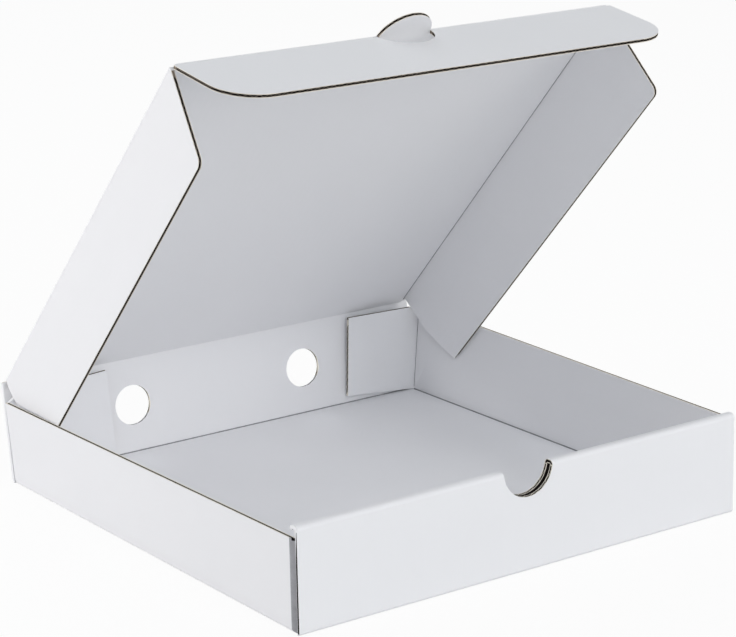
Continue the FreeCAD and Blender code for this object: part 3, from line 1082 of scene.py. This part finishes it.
    def tab_crease(self, wall: Wall) -> bpy.types.Object:
        """Tool for the crease between a side wall and its rear tab."""
        low = self.on_tab(wall, 0.0, 0.0, 3 * MM)
        high = self.on_tab(wall, 0.0, 0.0, wall.rear_height - 3 * MM)
        return self.board.crease("tab_crease", low, high, 0.22 * MM)

    def on_tab(self, wall: Wall, away: float, back: float, high: float) -> Vector:
        """Point of a rear tab.

        Args:
            wall: the wall that the tab belongs to.
            away: distance from the crease along the tab.
            back: distance behind the tab's front face.
            high: height along the tab's own upright.

        Returns:
            The point.
        """
        swing = wall.tab_swing * away / wall.tab * high / wall.tab_end
        across = (self.half - self.board.thick - away * math.cos(wall.lean)
                  + high * math.sin(wall.lean))
        up = away * math.sin(wall.lean) + high * math.cos(wall.lean)
        return Vector((wall.side * across, self.wall_end + back + swing, up))

    def tab_groove(self, wall: Wall) -> bpy.types.Object:
        """Tool for the open flute along a rear tab's top edge."""
        near, far = self.board.liner, self.board.thick - self.board.liner
        ends = []
        for away, top in ((5.2 * MM, wall.tab_shoulder), (wall.tab + 0.5 * MM, wall.tab_end)):
            ends.append([self.on_tab(wall, away, back, high) for back, high in (
                (near, top - OPENED_DEPTH), (far, top - OPENED_DEPTH),
                (far, top + 0.3 * MM), (near, top + 0.3 * MM))])
        return self.board.groove("tab_groove", ends)

    def tab_flutes(self, wall: Wall) -> bpy.types.Object:
        """Tool for the open flutes at a rear tab's free end."""
        count = int((wall.tab_end - 4 * MM) / self.board.pitch)
        frame = Matrix.Identity(4)
        return self.board.channels(
            "tab_flutes", frame, 4.2 * MM, count, wall.tab - 4 * MM, wall.tab + 1 * MM,
            warp=lambda p: self.on_tab(wall, p.y, self.board.thick / 2 + p.z, p.x),
            mirrored=wall.side > 0)

    def vent_flutes(self, side: int) -> bpy.types.Object:
        """Tool for the flutes that a vent hole cuts through."""
        sin_l, cos_l = math.sin(self.back_lean), math.cos(self.back_lean)
        foot = Vector((side * self.vent_across, self.depth - self.board.thick,
                       self.board.thick))
        out = Vector((0, cos_l, -sin_l))
        frame = axes(foot + out * self.board.thick / 2, Vector((-1, 0, 0)),
                     Vector((0, sin_l, cos_l)), out)
        count = round(2 * self.vent / self.board.pitch)
        return self.board.channels("vent_flutes", frame, self.board.first_of(count), count,
                                   self.vent_rise - self.vent - 6 * MM,
                                   self.vent_rise + self.vent + 6 * MM)

    def notch_flutes(self) -> list[bpy.types.Object]:
        """Tools for the flutes that the finger notch cuts through."""
        tools = []
        count = round(2 * self.notch / self.board.pitch)
        low = self.height - self.notch - 7 * MM
        layers = {"outer": -self.depth, "inner": -self.inner_face - self.board.thick}
        for label, face in layers.items():
            frame = axes(Vector((0, face + self.board.thick / 2, 0)), Vector((1, 0, 0)),
                         Vector((0, 0, 1)), Vector((0, -1, 0)))
            tools.append(self.board.channels(
                label + "_notch_flutes", frame, self.board.first_of(count), count,
                low, self.height - self.roll - 0.3 * MM))
        level = self.height - self.roll + 0.1 * MM
        reach = self.notch + 1.2 * MM
        tools.append(self.prism("roll_notch", self.roll_path(level), -reach, reach))
        return tools


# ---------------------------------------------------------------------- studio


@dataclass(frozen=True)
class Lamp:
    """One soft box."""

    name: str
    place: tuple[float, float, float]
    aim: tuple[float, float, float]
    size: tuple[float, float]
    power: float
    colour: tuple[float, float, float] = (1.0, 1.0, 1.0)

    def put_up(self) -> bpy.types.Object:
        """Hang the soft box and point it."""
        light = bpy.data.lights.new(self.name, "AREA")
        light.shape = "RECTANGLE"
        light.size, light.size_y = self.size
        light.energy = self.power
        light.color = self.colour
        lamp = bpy.data.objects.new(self.name, light)
        lamp.visible_camera = False
        lamp.location = self.place
        direction = Vector(self.aim) - Vector(self.place)
        lamp.rotation_euler = direction.to_track_quat("-Z", "Y").to_euler()
        bpy.context.scene.collection.objects.link(lamp)
        return lamp


@dataclass
class Studio:
    """Camera, floor, surroundings and soft boxes."""

    azimuth: float = math.radians(-35.24)
    elevation: float = math.radians(15.53)
    roll: float = math.radians(-1.16)
    lens: float = 128.447
    stand: tuple[float, float, float] = (-0.6409, -0.9133, 0.3932)
    floor_size: float = 8.0
    floor_drop: float = 0.3 * MM
    floor_glow: float = 0.93
    world_strength: float = 0.3
    lamps: tuple[Lamp, ...] = (
        Lamp("front_box", (-0.2, -1.9, 0.7), (0.0, 0.0, 0.1), (1.4, 1.2), 6.6,
             (0.96, 0.98, 1.0)),
        Lamp("right_box", (1.3, -1.4, 0.8), (0.0, 0.0, 0.1), (1.2, 1.2), 11.4,
             (1.0, 0.985, 0.965)),
        Lamp("high_box", (-0.3, -1.2, 1.6), (0.0, 0.0, 0.1), (1.4, 1.4), 8.4,
             (0.94, 0.975, 1.0)),
        Lamp("left_box", (-1.3, 1.1, 0.35), (0.0, 0.1, 0.1), (1.2, 0.6), 15.0,
             (1.0, 0.98, 0.97)),
        Lamp("back_box", (0.2, 1.4, 1.5), (0.0, 0.0, 0.1), (1.4, 1.2), 8.6,
             (0.93, 0.97, 1.0)),
    )

    def camera(self) -> bpy.types.Object:
        """Set the camera where the photograph was taken from."""
        sin_a, cos_a = math.sin(self.azimuth), math.cos(self.azimuth)
        sin_e, cos_e = math.sin(self.elevation), math.cos(self.elevation)
        back = Vector((sin_a * cos_e, -cos_a * cos_e, sin_e))
        level = Vector((cos_a, sin_a, 0.0))
        upright = back.cross(level)
        right = level * math.cos(self.roll) + upright * math.sin(self.roll)
        rise = upright * math.cos(self.roll) - level * math.sin(self.roll)
        data = bpy.data.cameras.new("camera")
        data.sensor_fit = "HORIZONTAL"
        data.sensor_width = 36.0
        data.lens = self.lens
        data.clip_start, data.clip_end = 0.01, 50.0
        camera = bpy.data.objects.new("camera", data)
        camera.matrix_world = axes(Vector(self.stand), right, rise, back)
        bpy.context.scene.collection.objects.link(camera)
        bpy.context.scene.camera = camera
        return camera

    def floor(self) -> bpy.types.Object:
        """Lay the pale floor."""
        bpy.ops.object.select_all(action="DESELECT")
        bpy.ops.mesh.primitive_plane_add(size=self.floor_size,
                                         location=(0, 0, -self.floor_drop))
        floor = bpy.context.object
        floor.name = "floor"
        graph = Graph("pale_floor")
        rays = graph.node("ShaderNodeLightPath", output="Is Camera Ray")
        paper = graph.node("ShaderNodeBsdfDiffuse", inputs={"Color": (0.86, 0.86, 0.86, 1.0)})
        glow = graph.node("ShaderNodeEmission", inputs={"Color": (1, 1, 1, 1), "Strength": 1.0})
        floor.data.materials.append(graph.surface(graph.node("ShaderNodeMixShader", inputs={
            0: rays * self.floor_glow, 1: paper, 2: glow})))
        return floor

    def surroundings(self) -> None:
        """Even pale surroundings that look white to the camera."""
        world = bpy.data.worlds.new("studio")
        bpy.context.scene.world = world
        world.use_nodes = True
        tree = world.node_tree
        tree.nodes.clear()
        rays = tree.nodes.new("ShaderNodeLightPath")
        soft = tree.nodes.new("ShaderNodeBackground")
        soft.inputs["Color"].default_value = (0.97, 0.985, 1.0, 1.0)
        soft.inputs["Strength"].default_value = self.world_strength
        white = tree.nodes.new("ShaderNodeBackground")
        white.inputs["Strength"].default_value = 1.0
        white.inputs["Color"].default_value = (1.0, 1.0, 1.0, 1.0)
        mix = tree.nodes.new("ShaderNodeMixShader")
        out = tree.nodes.new("ShaderNodeOutputWorld")
        tree.links.new(rays.outputs["Is Camera Ray"], mix.inputs[0])
        tree.links.new(soft.outputs[0], mix.inputs[1])
        tree.links.new(white.outputs[0], mix.inputs[2])
        tree.links.new(mix.outputs[0], out.inputs[0])

    def set_up(self) -> None:
        """Build the whole studio."""
        self.camera()
        self.floor()
        self.surroundings()
        for lamp in self.lamps:
            lamp.put_up()
        bpy.context.scene.view_settings.view_transform = "Standard"


def main() -> None:
    """Build the box in its frame and set up the studio."""
    logging.basicConfig(level=logging.INFO, format="%(name)s: %(message)s")
    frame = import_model()
    board = Board()
    for maker in (Tray(board), Lid(board), TuckFlap(board)):
        for piece in maker.build(frame["nodes"]):
            LOG.info("%s: %d faces", piece.name, len(piece.data.polygons))
    Studio().set_up()


if __name__ == "__main__":
    main()
